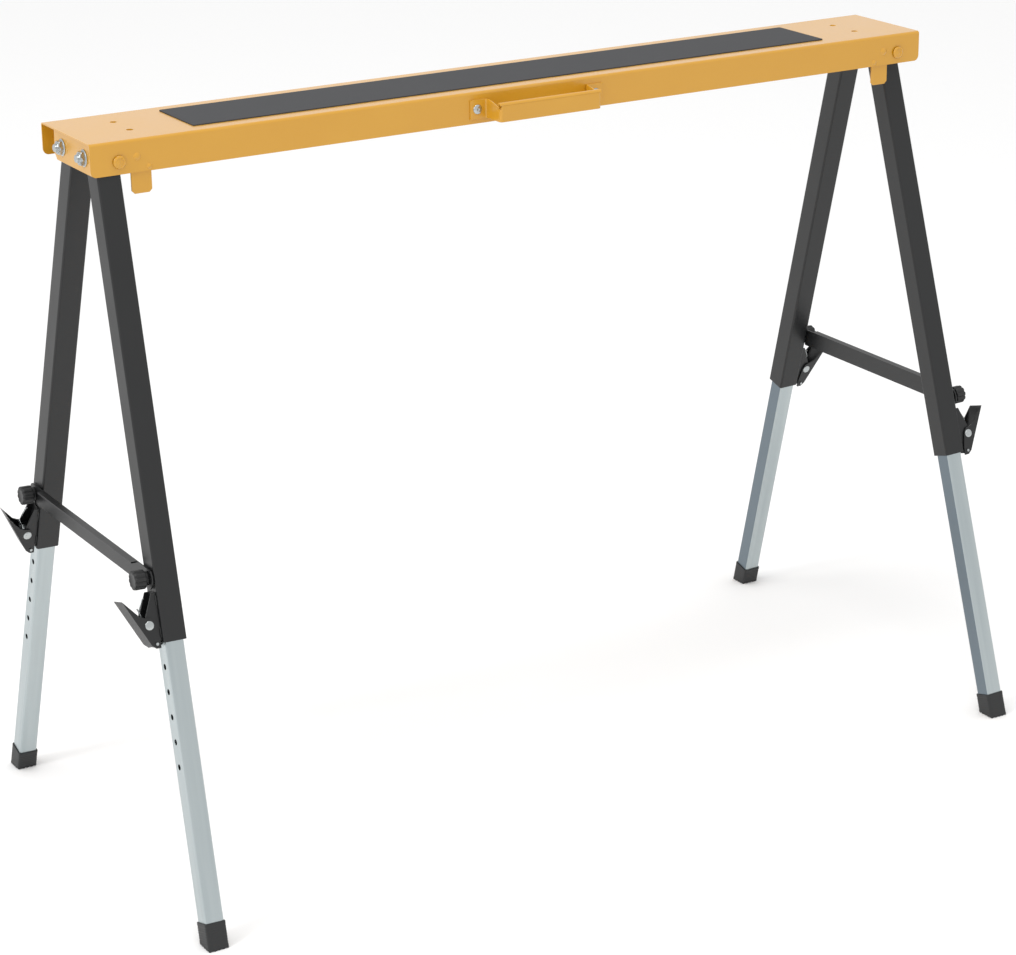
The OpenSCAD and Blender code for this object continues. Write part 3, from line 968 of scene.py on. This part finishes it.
@dataclass
class LegLooks:
    """One leg: its tubes, shoe, latch, spring and knob. Sizes are in millimetres."""

    finishes: Finishes
    leg: str
    tube: float = 20.0
    upper: float = 25.0
    shoe: float = 22.5
    shoe_corner: float = 2.2
    shoe_rise: float = 25.0
    shoe_around: int = 128
    tread: float = 1.0
    lugs: int = 16
    rib_pitch: float = 2.6
    rib: float = 0.22
    knob: float = 10.0
    knob_foot: float = -6.4
    knob_top: float = 8.6
    flutes: int = 10
    flute: float = 1.2
    coil: float = 4.3
    wire: float = 0.7
    coil_pitch: float = 1.6
    turns: int = 5
    # How far each arm leans over its length in degrees, and its length.
    lower_arm: tuple[float, float] = (-12.0, 18.0)
    upper_arm: tuple[float, float] = (14.0, 24.0)
    hook: float = 1.8
    rivet: float = 4.6
    rivet_rise: float = 1.3
    rivet_shank: float = 2.5
    rivet_half: float = 10.9
    swage: float = 2.6
    swage_depth: float = 0.5
    bead: float = 1.15
    bead_length: float = 11.0
    bead_side: float = 9.0
    bead_starts: tuple[float, float] = (17.0, -14.0)

    def build(self) -> None:
        """Builds the new pieces, and dresses the CAD nodes that stay."""
        for part in ("lock_pin", "brace_stud"):
            dress(f"{self.leg}_{part}", self.finishes.zinc)
        press(f"{self.leg}_outer_leg", f"{self.leg}_upper_tube", self.finishes.black, width=0.25)
        press(f"{self.leg}_inner_leg", f"{self.leg}_lower_tube", tube_zinc(self.leg), width=0.2)
        for part in ("latch_housing", "latch_lever"):
            press(f"{self.leg}_{part}", f"{self.leg}_{part}_pressing", self.finishes.black)
        self.add_shoe()
        self.add_knob()
        self.add_spring()
        self.add_rivet()
        self.add_welds()

    def latch(self) -> Axes:
        """Returns the latch's frame: origin on its rivet, with the leg's axes."""
        axes = leg_axes(self.leg)
        return Axes(np.array(joint(f"{self.leg}_latch")["pos_m"]), axes.x, axes.y, axes.z)

    def add_shoe(self) -> None:
        """Builds the shoe: ribbed rounded squares down the leg, ending in a tread cut level with the floor.

        The last rings meet the floor where the leg's own line through each point does, and the tread is a cosine
        of the way round the sole.
        """
        axes = leg_axes(self.leg)
        outer = rounded_square(self.shoe, self.shoe_corner, self.shoe_around)
        inner = rounded_square(self.tube + 0.1, self.shoe_corner, self.shoe_around)
        rise, stand = axes.z[2], axes.origin[2] / MM
        top = self.shoe_rise - stand / rise
        tread = 0.5 * self.tread * (1 - np.cos(self.lugs * turn(self.shoe_around)))

        def ring(flat: np.ndarray, z: np.ndarray | float) -> np.ndarray:
            """Makes a ring of an outline at a place along the leg."""
            return np.column_stack([flat, np.broadcast_to(z, len(flat))])

        def level(flat: np.ndarray, height: np.ndarray | float) -> np.ndarray:
            """Makes a ring of an outline at a height above the floor."""
            return ring(flat, (height - stand - flat @ np.array([axes.x[2], axes.y[2]])) / rise)

        shelf, sheer = level(outer, 2.6), top - 3.2
        rings = [level(outer * 0.86, 1.0), level(outer * 0.955, 0.6 * tread), level(outer * 0.985, tread),
                 level(outer, tread + 0.5), shelf]
        for share in np.linspace(0.02, 1, 40):
            z = shelf[:, 2] + (sheer - shelf[:, 2]) * share
            groove = self.rib * 0.5 * (1 - np.cos(2 * np.pi * (z - sheer) / self.rib_pitch))
            rings.append(ring(outer * (1 - 2 * groove / self.shoe)[:, None], z))
        rings += [ring(outer, top - 2.9), ring(outer, top - 0.5), ring(outer * 0.985, top - 0.1),
                  ring(outer * 0.965, top), ring(inner, top), ring(inner, top - 2.0)]
        mesh = Skin().loft(axes.place(np.array(rings))).mesh(f"{self.leg}_shoe", sharp_deg=45)
        put(f"{self.leg}_rubber_shoe", mesh, self.finishes.shoe, [f"{self.leg}_foot"])

    def add_knob(self) -> None:
        """Builds the clamping knob: a boss, and a head whose radius dips at each flute as a cubed cosine."""
        turning = joint(f"{self.leg}_knob_turn")
        axes = along(turning["pos_m"], turning["axis"], [0, 1, 0])
        big, boss, foot, top = self.knob, 0.72 * self.knob, self.knob_foot, self.knob_top
        under, over = 1.2, 2.0
        head_foot = foot + 2.9
        a = np.linspace(0, np.pi / 2, 6)
        profile = [(3.1, foot), (boss - 0.4, foot), (boss, foot + 0.4), (boss, foot + 2.8)]
        profile += [(big - under + under * math.sin(t), foot + 4.2 - under * math.cos(t)) for t in a]
        profile += [(big, h) for h in np.linspace(foot + 4.9, top - 2.2, 6)]
        profile += [(big - over + over * math.cos(t), top - over + over * math.sin(t)) for t in a]
        profile += [(6.2, top), (5.6, top - 0.3), (0.3, top - 0.3)]

        def fluted(r: np.ndarray, h: np.ndarray, angle: np.ndarray) -> tuple[np.ndarray, np.ndarray]:
            """Dips the head's radius at each flute."""
            dip = self.flute * (0.5 + 0.5 * np.cos(self.flutes * angle)) ** 3
            return r - np.where((h > head_foot) & (r > boss), dip, 0), h

        mesh = Skin().loft(revolved(axes, profile, around=160, shape=fluted)).mesh(f"{self.leg}_knob", sharp_deg=40)
        put(f"{self.leg}_fluted_knob", mesh, self.finishes.knob, [f"{self.leg}_brace_knob"])

    def add_spring(self) -> None:
        """Builds the torsion spring: wire down one arm, round the coil's helix, and up the other to a hook."""
        axes = self.latch()
        angle = np.linspace(math.pi, math.pi + 2 * math.pi * self.turns, int(self.turns * 24))
        half = self.turns * self.coil_pitch / 2
        coil = np.stack([self.coil * np.cos(angle), np.linspace(-half, half, len(angle)),
                         self.coil * np.sin(angle)], -1)
        arms = []
        for start, (lean, length) in ((coil[0], self.lower_arm), (coil[-1], self.upper_arm)):
            t = np.linspace(0, 1, 16)[:, None]
            ease = 0.5 * t * t * math.radians(lean) + 0.5 * t * math.radians(lean)
            arms.append(start + length * t * np.concatenate([np.sin(ease), 0 * t, np.cos(ease)], -1))
        bow = np.linspace(0.15, 1.9, 8)
        tip = arms[1][-1]
        hook = np.stack([tip[0] + self.hook * (1 - np.cos(bow)), np.full(len(bow), tip[1]),
                         tip[2] + self.hook * np.sin(bow)], -1)
        path = np.vstack([arms[0][:0:-1], coil, arms[1][1:], hook])
        mesh = Skin().loft(swept(axes, path, self.wire)).mesh(f"{self.leg}_spring")
        put(f"{self.leg}_torsion_spring", mesh, self.finishes.zinc, [f"{self.leg}_latch_spring"])

    def add_rivet(self) -> None:
        """Builds the latch's rivet: a shank with a low domed head at one end and a swaged one at the other."""
        shank, inner = self.rivet_shank, self.rivet_half
        head = dome_profile(self.rivet, self.rivet_rise, steps=18)
        left = [(r, -inner - h) for r, h in reversed(head)]
        right = [(r, inner + h) for r, h in head]
        middle = [(self.rivet, -inner), (shank, -inner), (shank, inner), (self.rivet, inner)]
        axes = self.latch()
        turned = along(axes.origin, axes.y, axes.x)
        rings = revolved(turned, [*left, *middle, *right], shape=swaged(self.swage, self.swage_depth))
        mesh = Skin().loft(rings).mesh(f"{self.leg}_rivet")
        put(f"{self.leg}_latch_pivot_rivet", mesh, self.finishes.zinc, [f"{self.leg}_latch_rivet"])

    def add_welds(self) -> None:
        """Builds the short weld beads beside the housing: a rippled half round that tapers to both ends."""
        axes = self.latch()
        leg = leg_axes(self.leg)
        face = (leg.origin - axes.origin) @ leg.x / MM - self.upper / 2
        skin = Skin()
        t, a, ripples = np.linspace(0, 1, 40), turn(16), 9
        taper = np.sqrt(np.clip(1 - (2 * t - 1) ** 6, 0.02, 1))
        size = self.bead * taper * (0.9 + 0.1 * np.abs(np.sin(ripples * np.pi * t)))
        for side in (-1, 1):
            for start in self.bead_starts:
                z = np.broadcast_to((start + self.bead_length * t)[:, None], (len(t), len(a)))
                x = face - 0.5 + size[:, None] * np.cos(a)
                y = side * self.bead_side + size[:, None] * np.sin(a)
                skin.loft(axes.place(np.stack([x, y, z], -1)))
        body = frame["nodes"][f"{self.leg}_latch_housing"]["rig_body"]
        put(f"{self.leg}_weld_beads", skin.mesh(f"{self.leg}_welds"), self.finishes.black, (), body)


# ---- studio ----


@dataclass(frozen=True)
class Softbox:
    """A square lamp: its place and aim in metres, side in metres, power in watts and colour in sRGB hex."""

    name: str
    spot: tuple[float, float, float]
    aim: tuple[float, float, float]
    size: float
    power: float
    colour: str

    def build(self) -> None:
        """Hangs the lamp."""
        data = bpy.data.lights.new(self.name, "AREA")
        data.size = self.size
        data.energy = self.power
        data.color = linear(self.colour)[:3]
        lamp = bpy.data.objects.new(self.name, data)
        spot = np.array(self.spot)
        axes = along(spot, spot - np.array(self.aim), [1.0, 0.0, 0.0])
        turned = np.eye(4)
        turned[:3, :3] = np.stack([axes.x, axes.y, axes.z], -1)
        turned[:3, 3] = spot
        lamp.matrix_world = Matrix(turned.tolist())
        bpy.context.scene.collection.objects.link(lamp)


TOP_SOFTBOX = Softbox("top_softbox", (-0.6, -0.6, 4.2), (0.0, 0.0, 0.5), 1.2, 34.0, "#fffdfa")
LEFT_SOFTBOX = Softbox("left_softbox", (-3.6, -0.6, 2.9), (0.0, 0.0, 0.5), 1.0, 40.0, "#ffffff")


@dataclass
class Studio:
    """The camera, the pale floor and soft light. Lengths are in metres and angles in degrees."""

    place: tuple[float, float, float] = (-1.5691, -2.6586, 1.4119)
    azimuth: float = -30.47
    elevation: float = 19.56
    roll: float = -0.753
    lens_mm: float = 105.22
    sensor_mm: float = 36.0
    floor_reach: float = 30.0
    floor_drop: float = 0.0002
    floor_lines: int = 9
    tent_strength: float = 0.93

    def build(self) -> None:
        """Makes the camera, floor, world and lamps."""
        bpy.context.scene.view_settings.view_transform = "Standard"
        self.add_camera()
        self.add_floor()
        self.add_world()
        for softbox in (TOP_SOFTBOX, LEFT_SOFTBOX):
            softbox.build()

    def add_camera(self) -> None:
        """Makes the camera from its place, azimuth, elevation and roll."""
        az, el, ro = (math.radians(v) for v in (self.azimuth, self.elevation, self.roll))
        back = np.array([math.sin(az) * math.cos(el), -math.cos(az) * math.cos(el), math.sin(el)])
        level = unit(np.cross([0.0, 0.0, 1.0], back))
        upright = np.cross(back, level)
        right = math.cos(ro) * level + math.sin(ro) * upright
        up = -math.sin(ro) * level + math.cos(ro) * upright
        data = bpy.data.cameras.new("camera")
        data.lens = self.lens_mm
        data.sensor_width = self.sensor_mm
        eye = bpy.data.objects.new("camera", data)
        turned = np.eye(4)
        turned[:3, :3] = np.stack([right, up, back], -1)
        turned[:3, 3] = self.place
        eye.matrix_world = Matrix(turned.tolist())
        bpy.context.scene.collection.objects.link(eye)
        bpy.context.scene.camera = eye

    def add_floor(self) -> None:
        """Makes the plain pale floor as a flat grid."""
        line = np.linspace(-self.floor_reach, self.floor_reach, self.floor_lines)
        x, y = np.meshgrid(line, line, indexing="ij")
        points = np.stack([x, y, np.full_like(x, -self.floor_drop)], -1).reshape(-1, 3)
        index = np.arange(x.size).reshape(x.shape)
        quads = np.stack([index[:-1, :-1], index[1:, :-1], index[1:, 1:], index[:-1, 1:]], -1).reshape(-1, 4)
        mesh = bpy.data.meshes.new("floor")
        mesh.from_pydata(points.tolist(), [], quads.tolist())
        floor = bpy.data.objects.new("floor", mesh)
        bpy.context.scene.collection.objects.link(floor)
        paint = bpy.data.materials.new("matt_white_floor")
        paint.use_nodes = True
        shader = paint.node_tree.nodes["Principled BSDF"]
        shader.inputs["Base Color"].default_value = linear("#fcfcfc")
        shader.inputs["Roughness"].default_value = 0.9
        shader.inputs["Specular IOR Level"].default_value = 0.1
        mesh.materials.append(paint)

    def add_world(self) -> None:
        """Makes the even white surroundings of a light tent."""
        world = bpy.data.worlds.new("light_tent")
        world.use_nodes = True
        sky = world.node_tree.nodes["Background"]
        sky.inputs["Color"].default_value = linear("#ffffff")
        sky.inputs["Strength"].default_value = self.tent_strength
        bpy.context.scene.world = world


def main() -> None:
    """Builds the studio and the trestle's sub-assemblies in order."""
    logging.basicConfig(level=logging.INFO, format="%(name)s: %(message)s")
    Studio().build()
    finishes = Finishes()
    BeamLooks(finishes).build()
    HandleLooks(finishes).build()
    for end in ENDS:
        EndLooks(finishes, end).build()
    for leg in LEGS:
        LegLooks(finishes, leg).build()


if __name__ == "__main__":
    main()
